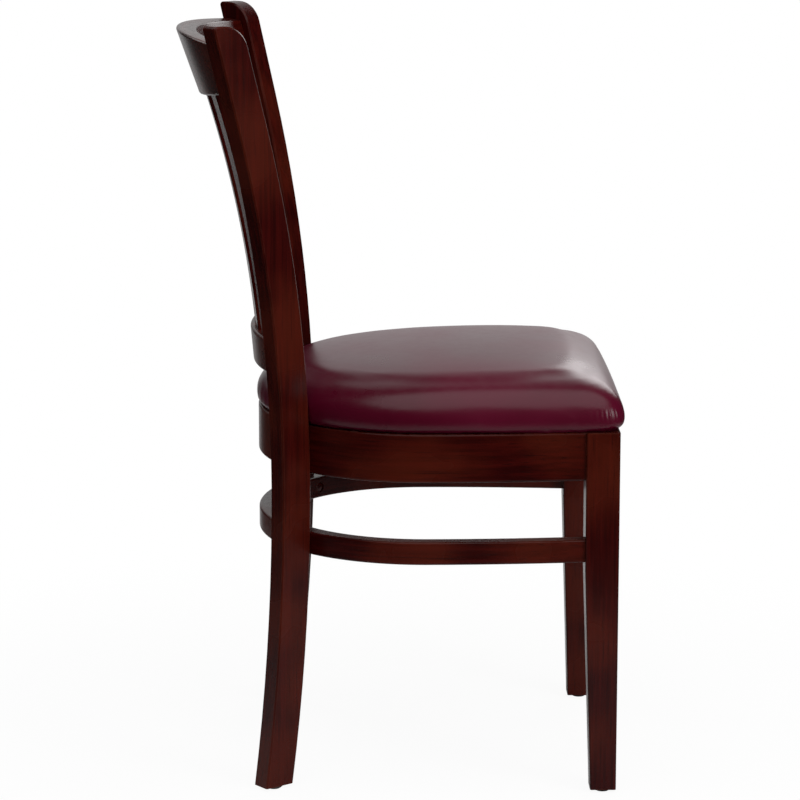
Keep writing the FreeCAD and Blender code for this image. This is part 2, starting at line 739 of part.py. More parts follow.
block_middle = value("block_bottom + block_height / 2")
rail_seats = [
    (at(f"{side} * (leg_inner - block_screw_inset)", "rail_rear_y + block_bearing",
        "block_bottom + block_height / 2 - block_screw_spacing / 2"), -REAR) for side in SIDES]
apron_y = "leg_rear_y + block_screw_inset"
side_seats = [
    (at(f"{side} * ({ring_inside(apron_y)} - block_bearing)", apron_y,
        "block_bottom + block_height / 2 + block_screw_spacing / 2"), Vector(side, 0, 0)) for side in SIDES]
rear_reach = value("ring_inside_corner - block_bearing")
rear_seats = [
    (rear_place(side, rear_reach, across, block_middle), rear_direction(side))
    for side in SIDES for across in pair("rear_block_screw_spacing")]
block_holes, block_bores = screws("block_screw", "block_screws", rail_seats + side_seats + rear_seats)

seat_screw_z = value("seat_screw_tip - seat_screw_length")
front_fixings = [
    at(f"{side} * (leg_inner - seat_screw_inset)", "leg_rear_y + seat_screw_inset", seat_screw_z)
    for side in SIDES]
rear_reach = value("ring_inside_corner - rear_block_depth / 2")
rear_fixings = [rear_place(side, rear_reach, 0, seat_screw_z) for side in SIDES]
seat_holes, seat_bores = screws("seat_screw", "seat_screws", [
    (point, UP) for point in front_fixings + rear_fixings])

for side in SIDES:
    tools = block_holes + block_bores + seat_holes + seat_bores
    keep(cut(front_block(side), tools), f"front_corner_block_{SIDES[side]}")
    keep(cut(rear_block(side), tools), f"rear_seat_block_{SIDES[side]}")


# Glides under the legs
def foot_middle(end, side):
    if end == "front":
        return at(f"{side} * (leg_outer - foot_size / 2)", "front_y + foot_size / 2", "0")
    return stile_frame(side).multVec(at("inner_foot_offset - housing_depth + foot_depth / 2", "0", "0"))


nail_holes = []
for end in ("front", "rear"):
    for side in SIDES:
        glide = revolved("glide", [
            ("0", "0"), ("glide_sole / 2", "0"), ("glide_diameter / 2", "glide_height / 2"),
            ("glide_diameter / 2", "glide_height"), ("glide_nail / 2", "glide_height"),
            ("glide_nail / 2", "glide_height + glide_nail_length - glide_nail"),
            ("0", "glide_height + glide_nail_length")])
        glide.Placement = Placement(foot_middle(end, side), Rotation())
        keep(glide, f"{end}_glide_{SIDES[side]}")
        nail_holes.append(cylinder("glide_nail + 2 * joint_clearance", "glide_nail_length + dowel_end_gap",
                                   foot_middle(end, side) + UP * value("glide_height"), UP))


# The wooden frame, each piece with its housings, mortises and holes
def housing(side, height, bottom):
    """The ring's outer face as the rear leg is notched to fit it."""
    return cylinder("2 * (corner_radius + joint_clearance)", f"{height} + 2 * joint_clearance",
                    corner_centre(side, value(f"{bottom} - joint_clearance")), UP)


front_rail = new_body("front_rail_blank")
front_rail_pad = pad(front_rail, [
    ("-leg_inner", "rail_front_y"), ("leg_inner", "rail_front_y"), ("leg_inner", "rail_rear_y"),
    ("-leg_inner", "rail_rear_y")], "apron_height", height="apron_top - apron_height")
half_rail = value("leg_inner")
round_edges(front_rail, front_rail_pad, "ring_round", lambda edge: edge.Length > half_rail)

for side, word in SIDES.items():
    keep(cut(front_blanks[side], [*apron_holes, *stretcher_holes, *front_rail_holes, *nail_holes]),
         f"front_leg_{word}")
    keep(cut(cut(rear_blanks[side], [below_foot(side)]), [
        housing(side, "apron_height", "apron_top - apron_height"),
        housing(side, "stretcher_height", "stretcher_top - stretcher_height"),
        *nail_holes, *rail_holes["crest"], *rail_holes["lower"],
        *apron_screw_holes, *stretcher_screw_holes]), f"rear_leg_{word}")
keep(cut(apron_blank, apron_holes + apron_screw_holes + apron_screw_bores + block_holes), "seat_apron")
keep(cut(stretcher_blank, stretcher_holes + stretcher_screw_holes + stretcher_screw_bores), "stretcher")
keep(cut(front_rail, front_rail_holes + block_holes), "front_rail")
for kind, label in (("crest", "crest_rail"), ("lower", "lower_back_rail")):
    shaped = cut(cut(rail_blanks[kind], [beyond_stile(1)]), [beyond_stile(-1)])
    keep(cut(shaped, mortises + rail_holes[kind]), label)


# Seat: one crowned form outside, the same form drawn in by the cover's skin inside
def pad_outline(scale):
    """The seat's plan outline, scaled about the middle of the ring's widest line."""
    sine, cosine = "sin(rear_arc_angle)", "cos(rear_arc_angle)"
    tangent = (f"pad_rear_radius * {sine}", f"pad_rear - pad_rear_radius + pad_rear_radius * {cosine}")
    corners = [
        ("pad_front_half - cushion_corner", "pad_front", "cushion_corner"),
        ("pad_front_half", "pad_front + cushion_corner", "pad_side_radius"),
        ("pad_half", "0", "pad_corner"),
        (*tangent, "pad_rear_radius"),
        (f"-({tangent[0]})", tangent[1], "pad_corner"),
        ("-pad_half", "0", "pad_side_radius"),
        ("-pad_front_half", "pad_front + cushion_corner", "cushion_corner"),
        ("-(pad_front_half - cushion_corner)", "pad_front"),
    ]
    return [(f"({x}) * ({scale})", f"widest_y + ({y}) * ({scale})",
             *(f"{size} * ({scale})" for size in radius)) for x, y, *radius in corners]


CROWN_SCALES = (0.985, 0.955, 0.89, 0.78, 0.6, 0.4)


def pad_levels(inset):
    """Outlines from the tucked-in bottom, over the rolled side, up to the crown."""
    shrink = f"({inset}) / pad_half"
    rise = f"(cushion_crown - cushion_bulge - ({inset}))"
    levels = [(f"apron_top + ({inset})", f"cushion_tuck - {shrink}"),
              ("apron_top + cushion_bulge / 2", f"(cushion_tuck + 3) / 4 - {shrink}"),
              ("apron_top + cushion_bulge", f"1 - {shrink}")]
    for scale in CROWN_SCALES:
        height = f"{rise} * (1 - {scale} ^ crown_power) ^ (1 / crown_fullness)"
        levels.append((f"apron_top + cushion_bulge + {height}", f"{scale} - {shrink}"))
    return [(height, pad_outline(scale)) for height, scale in levels]


def leg_notch(side, clearance):
    """The room that a rear leg takes beside the cushion."""
    corner = at(f"notch_reach - ({clearance})", f"-stile_thickness / 2 - ({clearance})", "apron_top")
    return box("ring_width", f"stile_thickness + 2 * ({clearance})", "2 * cushion_crown",
               stile_frame(side).multiply(Placement(corner, Rotation())))


def cushion(name, inset):
    body = new_body(name)
    loft(body, pad_levels(inset), ruled=False)
    return cut(body, [leg_notch(side, f"soft_clearance + {inset}") for side in SIDES])


def seat_sheet(name, scale, bottom, thickness):
    body = new_body(name)
    pad(body, pad_outline(scale), thickness, height=bottom)
    return body


outside = cushion("cushion_outside", "0")
inside = cushion("cushion_inside", "cover_skin")
foam = cushion("foam_blank", "cover_skin + foam_clearance")
board = seat_sheet("board_blank", "board_scale", "board_z", "board_thickness")
hem_opening = seat_sheet("hem_opening", "hem_scale", "apron_top - cover_skin", "3 * cover_skin")
dust_cover = seat_sheet("dust_cover_blank", "hem_scale - soft_clearance / pad_half",
                        "board_z - dust_cover_thickness", "dust_cover_thickness")

# Staples through the cover's hem into the board
staple = new_body("staple_pattern")
outer, inner = "staple_crown / 2", "(staple_crown / 2 - staple_wire)"
pad(staple, [
    (f"-{outer}", "-staple_wire"), (outer, "-staple_wire"), (outer, "staple_leg"), (inner, "staple_leg"),
    (inner, "0"), (f"-{inner}", "0"), (f"-{inner}", "staple_leg"), (f"-{outer}", "staple_leg"),
], "staple_wire", plane="XZ_Plane", middle=True)
line = new_sketch(new_body("staple_line"), "XY_Plane", "apron_top")
draw(line, pad_outline("staple_scale"))
doc.recompute()
count = int(value("staple_count"))
points = line.Shape.Wires[0].discretize(Number=2 * count + 1)
places = [Placement(points[index], Rotation(Vector(1, 0, 0), points[index + 1] - points[index - 1]))
          for index in range(1, 2 * count, 2)]
copies(staple, places, "hem_staples")
staples = nodes[-1]

keep(cut(board, seat_holes + [staples]), "seat_board")
keep(cut(foam, [board]), "seat_foam")
hollow = cut(cut(outside, [inside]), [hem_opening])
keep(cut(hollow, seat_holes + [staples]), "seat_cover")
keep(cut(dust_cover, seat_holes), "dust_cover")

# Every object has to be sound before anything is written
doc.recompute()
for item in doc.Objects:
    faults = {"Invalid", "Error"} & set(item.State)
    if faults:
        raise RuntimeError(f"{item.Label}: {faults}")
os.makedirs("parts", exist_ok=True)
for item in nodes:
    if item.Shape.isNull() or not item.Shape.isValid() or not item.Shape.Solids:
        raise RuntimeError(f"{item.Label}: no sound solid")
for item in nodes:
    item.Shape.exportStep(f"parts/{item.Label}.step")
    print(item.Label, len(item.Shape.Solids), round(item.Shape.Volume / 1000, 2), "cm3")
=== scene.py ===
"""Slat back restaurant chair: finishes, padded seat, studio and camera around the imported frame.

Metres. The origin is on the floor, midway across and midway front to back. +Z is up and the sitter
faces -Y. The wooden pieces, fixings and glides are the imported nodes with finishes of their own; the
padded seat and the cloth under it are made here.
"""
import json
import logging
import math
from dataclasses import dataclass, field
from enum import Enum

import bmesh
import bpy
import numpy as np
from bpy.types import Material, Mesh, Node, NodeSocket, NodeTree, Object, bpy_prop_collection
from mathutils import Matrix, Vector, noise


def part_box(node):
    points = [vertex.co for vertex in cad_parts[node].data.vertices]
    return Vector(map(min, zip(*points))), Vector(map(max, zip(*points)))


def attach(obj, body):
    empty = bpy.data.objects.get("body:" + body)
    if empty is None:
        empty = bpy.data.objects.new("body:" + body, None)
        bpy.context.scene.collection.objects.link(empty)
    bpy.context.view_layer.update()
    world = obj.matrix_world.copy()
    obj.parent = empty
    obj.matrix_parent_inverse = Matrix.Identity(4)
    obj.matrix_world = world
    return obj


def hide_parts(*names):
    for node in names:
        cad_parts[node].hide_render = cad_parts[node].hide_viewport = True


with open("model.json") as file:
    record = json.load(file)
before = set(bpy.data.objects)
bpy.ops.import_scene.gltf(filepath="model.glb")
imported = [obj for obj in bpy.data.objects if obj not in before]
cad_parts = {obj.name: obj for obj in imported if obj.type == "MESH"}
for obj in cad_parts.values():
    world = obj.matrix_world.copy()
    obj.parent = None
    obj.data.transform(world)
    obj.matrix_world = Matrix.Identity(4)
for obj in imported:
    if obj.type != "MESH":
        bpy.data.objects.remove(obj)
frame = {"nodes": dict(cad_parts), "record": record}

log = logging.getLogger("chair")
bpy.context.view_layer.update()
BODY = "root"

Colour = tuple[float, float, float, float]
Step = tuple[float, float]
Socket, Sockets = NodeSocket, bpy_prop_collection
Input = float | tuple[float, ...] | Socket


def rgb(red: float, green: float, blue: float) -> Colour:
    """An opaque linear colour."""
    return red, green, blue, 1.0


WHITE = rgb(1.0, 1.0, 1.0)


class Graph:
    """A node tree with short calls that place and join nodes."""

    def __init__(self, tree: NodeTree) -> None:
        """Wrap a node tree."""
        self.tree = tree

    def feed(self, socket: Socket, value: Input) -> None:
        """Link a socket to another one, or set its own value.

        Args:
            socket: The socket to feed.
            value: The other socket, or the value.
        """
        if isinstance(value, Socket):
            self.tree.links.new(value, socket)
        else:
            socket.default_value = value

    def add(self, kind: str, inputs: dict[str | int, Input] | None = None, **settings: object) -> Node:
        """Place a node.

        Args:
            kind: The node's type without its ShaderNode prefix.
            inputs: Values or sockets for its inputs, by name or number.
            settings: Properties of the node itself.

        Returns:
            The new node.
        """
        node = self.tree.nodes.new("ShaderNode" + kind)
        for name, setting in settings.items():
            setattr(node, name, setting)
        for name, value in (inputs or {}).items():
            self.feed(node.inputs[name], value)
        return node

    def math(self, operation: str, first: Input, second: Input = 0.0) -> Socket:
        """The result of a calculation with one or two numbers."""
        return self.add("Math", {0: first, 1: second}, operation=operation).outputs[0]

    def multiply(self, vector: Input, factors: Input) -> Socket:
        """A vector with each component multiplied by its own factor."""
        return self.add("VectorMath", {0: vector, 1: factors}, operation="MULTIPLY").outputs[0]

    def ramp(self, value: Input, low: float, high: float, start: float = 0.0, end: float = 1.0) -> Socket:
        """A smooth step.

        Args:
            value: What is measured.
            low: Where the step begins.
            high: Where it ends.
            start: The result below the step.
            end: The result above it.

        Returns:
            The stepped value's socket.
        """
        node = self.add("MapRange", {"Value": value, "From Min": low, "From Max": high,
                                     "To Min": start, "To Max": end}, interpolation_type="SMOOTHSTEP")
        return node.outputs["Result"]

    def blend(self, factor: Input, low: Input, high: Input) -> Socket:
        """A colour between two others.

        Args:
            factor: How far it lies from the first to the second.
            low: The first colour.
            high: The second colour.

        Returns:
            The colour's socket.
        """
        node = self.add("Mix", data_type="RGBA")
        for number, value in ((0, factor), (6, low), (7, high)):
            self.feed(node.inputs[number], value)
        return node.outputs[2]

    def noise(self, place: Input, scale: Input, detail: float = 3.0) -> Socket:
        """A soft random value from 0 to 1."""
        return self.add("TexNoise", {"Vector": place, "Scale": scale, "Detail": detail}).outputs["Fac"]

    def tint(self, colour: Input, other: Input, mask: Input, share: float) -> Socket:
        """A colour moved towards another one by a share of a mask."""
        return self.blend(self.math("MULTIPLY", mask, share), colour, other)

    def raised(self, value: Input, mask: Input, share: float) -> Socket:
        """A value with a share of a mask added to it."""
        return self.math("ADD", self.math("MULTIPLY", mask, share), value)


class Effect:
    """A shader node group that is built once and placed in any material with its own values."""

    name = ""
    inputs: dict[str, float | tuple[float, float, float]] = {}
    outputs: tuple[str, ...] = ()

    @classmethod
    def fill(cls, graph: Graph, given: Sockets) -> dict[str, Socket]:
        """Place the group's own nodes.

        Args:
            graph: The group's graph.
            given: Its inputs.

        Returns:
            Its outputs, by name.
        """
        raise NotImplementedError

    @classmethod
    def tree(cls) -> NodeTree:
        """The node group, built at its first use.

        Returns:
            The group's tree.
        """
        group = bpy.data.node_groups.get(cls.name)
        if group:
            return group
        group = bpy.data.node_groups.new(cls.name, "ShaderNodeTree")
        for name, default in cls.inputs.items():
            kind = "NodeSocketVector" if isinstance(default, tuple) else "NodeSocketFloat"
            group.interface.new_socket(name, in_out="INPUT", socket_type=kind).default_value = default
        for name in cls.outputs:
            group.interface.new_socket(name, in_out="OUTPUT", socket_type="NodeSocketFloat")
        graph = Graph(group)
        given = group.nodes.new("NodeGroupInput").outputs
        result = group.nodes.new("NodeGroupOutput")
        for name, socket in cls.fill(graph, given).items():
            graph.feed(result.inputs[name], socket)
        return group

    @classmethod
    def place(cls, graph: Graph, **values: Input) -> Sockets:
        """Place the group in a material.

        Args:
            graph: The material's graph.
            values: Values or sockets for the group's inputs.

        Returns:
            The group's output sockets.
        """
        node = graph.tree.nodes.new("ShaderNodeGroup")
        node.node_tree = cls.tree()
        for name, value in values.items():
            graph.feed(node.inputs[name], value)
        return node.outputs


class WoodGrain(Effect):
    """Streaks and pores along a board, and the patches where stain has soaked in unevenly."""

    name = "wood grain"
    inputs = {"Place": (0.0, 0.0, 0.0), "Length": 7.0, "Streak": 210.0, "Patch": 9.0}
    outputs = ("Streaks", "Pores", "Patches")
    streak_step = (0.34, 0.68)
    pore_step = (0.56, 0.74)
    pore_stretch = (2.6, 4.0, 4.0)
    patch_step = (0.36, 0.70)

    @classmethod
    def fill(cls, graph: Graph, given: Sockets) -> dict[str, Socket]:
        """Stretch noise along the board for the streaks, and leave it round for the patches.

        Args:
            graph: The group's graph.
            given: Its inputs.

        Returns:
            Its outputs, by name.
        """
        across = given["Streak"]
        factors = graph.add("CombineXYZ", {0: given["Length"], 1: across, 2: across}).outputs[0]
        run = graph.multiply(given["Place"], factors)
        finer = graph.multiply(run, cls.pore_stretch)
        streaks = graph.ramp(graph.noise(run, 1.0, detail=4.0), *cls.streak_step)
        pores = graph.ramp(graph.noise(finer, 1.0, detail=2.0), *cls.pore_step)
        patches = graph.ramp(graph.noise(given["Place"], given["Patch"], detail=2.0), *cls.patch_step)
        return {"Streaks": streaks, "Pores": pores, "Patches": patches}


class ThinEdges(Effect):
    """Where a finish is rubbed thin along the edges of a piece."""

    name = "thin edges"
    inputs = {"Width": 0.003}
    outputs = ("Mask",)
    bevel_samples = 6
    turn_step = (0.01, 0.14)
    break_scale = 60.0
    break_step = (0.3, 0.7, 0.35, 1.0)

    @classmethod
    def fill(cls, graph: Graph, given: Sockets) -> dict[str, Socket]:
        """Compare the surface's normal with that of a wider bevel, and break the line up a little.

        Args:
            graph: The group's graph.
            given: Its inputs.

        Returns:
            Its outputs, by name.
        """
        eased = graph.add("Bevel", {"Radius": given["Width"]}, samples=cls.bevel_samples).outputs["Normal"]
        geometry = graph.add("NewGeometry").outputs
        turn = graph.add("VectorMath", {0: eased, 1: geometry["Normal"]}, operation="DOT_PRODUCT")
        edge = graph.ramp(graph.math("SUBTRACT", 1.0, turn.outputs["Value"]), *cls.turn_step)
        broken = graph.ramp(graph.noise(geometry["Position"], cls.break_scale), *cls.break_step)
        return {"Mask": graph.math("MULTIPLY", edge, broken)}


class SettledDust(Effect):
    """The faint dust on faces that look up."""

    name = "settled dust"
    inputs = {"Amount": 0.1, "Scale": 140.0}
    outputs = ("Mask",)
    upward_step = (0.6, 1.0)
    speck_step = (0.35, 0.8)

    @classmethod
    def fill(cls, graph: Graph, given: Sockets) -> dict[str, Socket]:
        """Keep to upward faces and scatter with noise.

        Args:
            graph: The group's graph.
            given: Its inputs.

        Returns:
            Its outputs, by name.
        """
        geometry = graph.add("NewGeometry").outputs
        height = graph.add("SeparateXYZ", {0: geometry["Normal"]}).outputs["Z"]
        specks = graph.ramp(graph.noise(geometry["Position"], given["Scale"], detail=5.0), *cls.speck_step)
        lying = graph.math("MULTIPLY", graph.ramp(height, *cls.upward_step), specks)
        return {"Mask": graph.math("MULTIPLY", lying, given["Amount"])}


class PebbledSkin(Effect):
    """The embossed pebble of a coated cloth or a moulded plastic."""

    name = "pebbled skin"
    inputs = {"Scale": 620.0, "Drift": 6.0}
    outputs = ("Height", "Drift")
    roundness = 0.6
    cell_share = 0.7
    fine_ratio = 1.7
    fine_share = 0.5
    drift_step = (0.3, 0.7)

    @classmethod
    def fill(cls, graph: Graph, given: Sockets) -> dict[str, Socket]:
        """Rounded cells for the pebbles, with a slow change over the surface.

        Args:
            graph: The group's graph.
            given: Its inputs.

        Returns:
            Its outputs, by name.
        """
        place = graph.add("TexCoord").outputs["Object"]
        settings = {"Vector": place, "Scale": given["Scale"], "Smoothness": cls.roundness}
        cells = graph.add("TexVoronoi", settings, feature="SMOOTH_F1").outputs["Distance"]
        fine = graph.noise(place, graph.math("MULTIPLY", given["Scale"], cls.fine_ratio), detail=2.0)
        height = graph.raised(graph.math("MULTIPLY", cells, cls.cell_share), fine, cls.fine_share)
        return {"Height": height, "Drift": graph.ramp(graph.noise(place, given["Drift"]), *cls.drift_step)}


class GrainRun(Enum):
    """Which way the grain runs in a piece."""

    UPRIGHT = "upright"
    ACROSS = "across"
    RING = "ring"


class Finish:
    """A material of one of the record's slots."""

    slot: str
    relief: float
    relief_depth: float = 0.0003

    def shader(self, name: str) -> tuple[Material, Graph, Node]:
        """Start a material.

        Args:
            name: The material's name.

        Returns:
            The material, its graph and its surface shader.
        """
        material = bpy.data.materials.new(name)
        material.use_nodes = True
        graph = Graph(material.node_tree)
        return material, graph, material.node_tree.nodes["Principled BSDF"]

    def join(self, graph: Graph, surface: Node, colour: Input, rough: Input,
             height: Socket | None = None) -> None:
        """Lead a colour, a roughness and a relief to the surface shader.

        Args:
            graph: The material's graph.
            surface: Its surface shader.
            colour: The base colour.
            rough: The roughness.
            height: The relief, where the surface has one.
        """
        graph.feed(surface.inputs["Base Color"], colour)
        graph.feed(surface.inputs["Roughness"], rough)
        if height is not None:
            settings = {"Strength": self.relief, "Distance": self.relief_depth, "Height": height}
            graph.feed(surface.inputs["Normal"], graph.add("Bump", settings).outputs["Normal"])

    def dress(self, names: list[str], material: Material) -> None:
        """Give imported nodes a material.

        Args:
            names: The nodes.
            material: What they are made of.
        """
        for name in names:
            node = frame["nodes"][name]
            node.data.materials.clear()
            node.data.materials.append(material)
            log.info("%s: %s", name, material.name)


@dataclass(frozen=True)
class StainedWood(Finish):
    """Beech stained a dark red-brown, under a satin lacquer."""

    slot: str = "frame_wood"
    deep: Colour = rgb(0.0160, 0.0007, 0.0006)
    middle: Colour = rgb(0.0330, 0.0018, 0.0013)
    light: Colour = rgb(0.0800, 0.0105, 0.0036)
    pore: Colour = rgb(0.0060, 0.0006, 0.0005)
    rubbed: Colour = rgb(0.1000, 0.0280, 0.0120)
    dust: Colour = rgb(0.3000, 0.2800, 0.2600)
    roughness: float = 0.23
    edge_wear: float = 0.35
    gloss: float = 0.09
    lacquer: float = 0.04
    lacquer_roughness: float = 0.14
    patch_share: float = 0.5
    pore_share: float = 0.55
    rub_share: float = 0.3
    dust_share: float = 0.3
    patch_roughness: float = 0.06
    dust_roughness: float = 0.8
    streak_height: float = 0.3
    relief: float = 0.12
    bow: float = 1.1
    ring_radius: float = 0.2
    widest_setback: float = 0.215

    def run(self, graph: Graph, grain: GrainRun) -> Socket:
        """Turn a point of the chair into one along, across and through the board it is in.

        Args:
            graph: The material's graph.
            grain: Which way the piece's grain runs.

        Returns:
            The point's socket.
        """
        x, y, z = graph.add("SeparateXYZ", {0: graph.add("TexCoord").outputs["Object"]}).outputs
        if grain is GrainRun.UPRIGHT:
            along, across, through = z, x, y
        elif grain is GrainRun.ACROSS:
            bent = graph.math("MULTIPLY", graph.math("MULTIPLY", x, x), self.bow)
            along, across, through = x, graph.math("ADD", y, bent), z
        else:
            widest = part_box("front_leg_left")[0][1] + self.widest_setback
            behind = graph.math("SUBTRACT", y, widest)
            rear = graph.math("MAXIMUM", behind, 0.0)
            side = graph.math("MULTIPLY", graph.math("MINIMUM", behind, 0.0), graph.math("SIGN", x))
            turn = graph.math("MULTIPLY", graph.math("ARCTAN2", rear, x), self.ring_radius)
            square = graph.math("ADD", graph.math("MULTIPLY", x, x), graph.math("MULTIPLY", rear, rear))
            along, across, through = graph.math("ADD", turn, side), graph.math("SQRT", square), z
        return graph.add("CombineXYZ", {0: along, 1: across, 2: through}).outputs[0]

    def material(self, grain: GrainRun) -> Material:
        """The stained wood for pieces whose grain runs one way.

        Args:
            grain: Which way it runs.

        Returns:
            The material.
        """
        material, graph, surface = self.shader(f"stained_wood_{grain.value}")
        parts = WoodGrain.place(graph, Place=self.run(graph, grain))
        edges = ThinEdges.place(graph)["Mask"]
        dust = SettledDust.place(graph)["Mask"]
        colour = graph.blend(parts["Streaks"], self.deep, self.middle)
        for other, mask, share in ((self.light, parts["Patches"], self.patch_share),
                                   (self.pore, parts["Pores"], self.pore_share),
                                   (self.rubbed, edges, self.rub_share), (self.dust, dust, self.dust_share)):
            colour = graph.tint(colour, other, mask, share)
        rough = self.roughness
        for mask, share in ((parts["Patches"], self.patch_roughness), (dust, self.dust_roughness),
                            (edges, self.edge_wear)):
            rough = graph.raised(rough, mask, share)
        ridges = graph.math("MULTIPLY", parts["Streaks"], self.streak_height)
        self.join(graph, surface, colour, rough, graph.math("SUBTRACT", ridges, parts["Pores"]))
        surface.inputs["Specular IOR Level"].default_value = self.gloss
        surface.inputs["Coat Weight"].default_value = self.lacquer
        surface.inputs["Coat Roughness"].default_value = self.lacquer_roughness
        return material


@dataclass(frozen=True)
class BareWood(Finish):
    """Unfinished beech blocks and dowels, or the sanded face of plywood."""

    name: str
    slot: str
    dark: Colour
    pale: Colour
    roughness: float = 0.72
    length: float = 14.0
    streak: float = 320.0
    patch: float = 16.0
    pore_share: float = 0.4
    patch_roughness: float = 0.12
    relief: float = 0.3

    def material(self) -> Material:
        """The bare wood, with its grain and pores.

        Returns:
            The material.
        """
        material, graph, surface = self.shader(self.name)
        place = graph.add("TexCoord").outputs["Object"]
        parts = WoodGrain.place(graph, Place=place, Length=self.length, Streak=self.streak, Patch=self.patch)
        colour = graph.blend(parts["Streaks"], self.dark, self.pale)
        colour = graph.tint(colour, self.dark, parts["Pores"], self.pore_share)
        rough = graph.raised(self.roughness, parts["Patches"], self.patch_roughness)
        self.join(graph, surface, colour, rough, parts["Streaks"])
        return material


@dataclass(frozen=True)
class Metal(Finish):
    """Zinc-plated screws and staples."""

    name: str = "plated_steel"
    slot: str = "steel"
    bright: Colour = rgb(0.60, 0.60, 0.58)
    dull: Colour = rgb(0.36, 0.35, 0.32)
    roughness: float = 0.28
    drift: float = 220.0
    drift_roughness: float = 0.2
    edge: float = 0.0006

    def material(self) -> Material:
        """The plating, with its uneven passivation and rubbed edges.

        Returns:
            The material.
        """
        material, graph, surface = self.shader(self.name)
        drift = PebbledSkin.place(graph, Drift=self.drift)["Drift"]
        edges = ThinEdges.place(graph, Width=self.edge)["Mask"]
        colour = graph.blend(edges, graph.blend(drift, self.dull, self.bright), self.bright)
        self.join(graph, surface, colour, graph.raised(self.roughness, drift, self.drift_roughness))
        surface.inputs["Metallic"].default_value = 1.0
        return material


@dataclass(frozen=True)
class Moulded(Finish):
    """The dark moulded plastic of the glides."""

    name: str = "glide_plastic"
    slot: str = "glide"
    base: Colour = rgb(0.020, 0.015, 0.013)
    scuffed: Colour = rgb(0.095, 0.085, 0.078)
    roughness: float = 0.46
    pebble: float = 1500.0
    drift: float = 120.0
    drift_roughness: float = 0.14
    edge: float = 0.0012
    scuff_share: float = 0.6
    relief: float = 0.25
    relief_depth: float = 0.0001

    def material(self) -> Material:
        """The plastic, scuffed along its edge.

        Returns:
            The material.
        """
        material, graph, surface = self.shader(self.name)
        skin = PebbledSkin.place(graph, Scale=self.pebble, Drift=self.drift)
        edges = ThinEdges.place(graph, Width=self.edge)["Mask"]
        colour = graph.tint(self.base, self.scuffed, edges, self.scuff_share)
        rough = graph.raised(self.roughness, skin["Drift"], self.drift_roughness)
        self.join(graph, surface, colour, rough, skin["Height"])
        return material


@dataclass(frozen=True)
class Vinyl(Finish):
    """Burgundy coated cloth, glossy, with a fine embossed pebble."""

    name: str = "burgundy_vinyl"
    slot: str = "vinyl"
    deep: Colour = rgb(0.0470, 0.0005, 0.0070)
    bright: Colour = rgb(0.0680, 0.0013, 0.0120)
    dust: Colour = rgb(0.3000, 0.2700, 0.2700)
    roughness: float = 0.27
    gloss: float = 0.20
    drift_roughness: float = 0.05
    dust_amount: float = 0.04
    dust_scale: float = 90.0
    dust_share: float = 0.4
    dust_roughness: float = 0.6
    relief: float = 0.07
    relief_depth: float = 0.0002

    def material(self) -> Material:
        """The vinyl, with its pebble and a trace of dust.

        Returns:
            The material.
        """
        material, graph, surface = self.shader(self.name)
        skin = PebbledSkin.place(graph)
        dust = SettledDust.place(graph, Amount=self.dust_amount, Scale=self.dust_scale)["Mask"]
        colour = graph.blend(skin["Drift"], self.deep, self.bright)
        colour = graph.tint(colour, self.dust, dust, self.dust_share)
        rough = graph.raised(self.roughness, skin["Drift"], self.drift_roughness)
        rough = graph.raised(rough, dust, self.dust_roughness)
        self.join(graph, surface, colour, rough, skin["Height"])
        surface.inputs["Specular IOR Level"].default_value = self.gloss
        return material


@dataclass(frozen=True)
class NonWoven(Finish):
    """The black non-woven cloth under the seat, with its bonded dots."""

    name: str = "dust_cloth"
    slot: str = "dust_cloth"
    base: Colour = rgb(0.012, 0.012, 0.012)
    fibre: Colour = rgb(0.034, 0.033, 0.032)
    roughness: float = 0.92
    dot_scale: float = 700.0
    dot_spread: float = 0.15
    dot_step: Step = (0.15, 0.4)
    fibre_scale: tuple[float, float, float] = (500.0, 2600.0, 500.0)
    fibre_height: float = 0.6
    relief: float = 0.5

    def material(self) -> Material:
        """The cloth, with its fibres and dots.

        Returns:
            The material.
        """
        material, graph, surface = self.shader(self.name)
        place = graph.add("TexCoord").outputs["Object"]
        settings = {"Vector": place, "Scale": self.dot_scale, "Randomness": self.dot_spread}
        dots = graph.add("TexVoronoi", settings).outputs["Distance"]
        fibres = graph.noise(graph.multiply(place, self.fibre_scale), 1.0, detail=4.0)
        hollow = graph.ramp(dots, *self.dot_step)
        colour = graph.blend(fibres, self.base, self.fibre)
        self.join(graph, surface, colour, self.roughness, graph.raised(hollow, fibres, self.fibre_height))
        return material


@dataclass(frozen=True)
class StileMount:
    """Where a rear leg meets the bent rings, about the seat's middle."""

    side: int
    aside: float = 0.14883
    behind: float = 0.13983
    angle: float = math.radians(38)

    def place(self) -> Vector:
        """The point on the rings' outside."""
        return middle_of_seat() + Vector((self.side * self.aside, self.behind, 0.0))

    def outward(self) -> Vector:
        """The level direction that points out along the leg's plank."""
        return Vector((self.side * math.sin(self.angle), math.cos(self.angle), 0.0))


@dataclass
class WoodenFrame:
    """Legs, bent rings, rails and slats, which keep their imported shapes."""

    finish: StainedWood = StainedWood()
    uprights: tuple[str, ...] = ("front_leg_left", "front_leg_right", "rear_leg_left", "rear_leg_right",
                                 *(f"back_slat_{number}" for number in range(1, 6)))
    rails: tuple[str, ...] = ("crest_rail", "lower_back_rail", "front_rail")
    rings: tuple[str, ...] = ("seat_apron", "stretcher")

    def dress(self) -> None:
        """Stain every piece along its own grain, and plug the screw holes."""
        for names, grain in ((self.uprights, GrainRun.UPRIGHT), (self.rails, GrainRun.ACROSS),
                             (self.rings, GrainRun.RING)):
            material = self.finish.material(grain)
            self.finish.dress(list(names), material)
        ScrewPlugs().build(material, self.finish.slot)


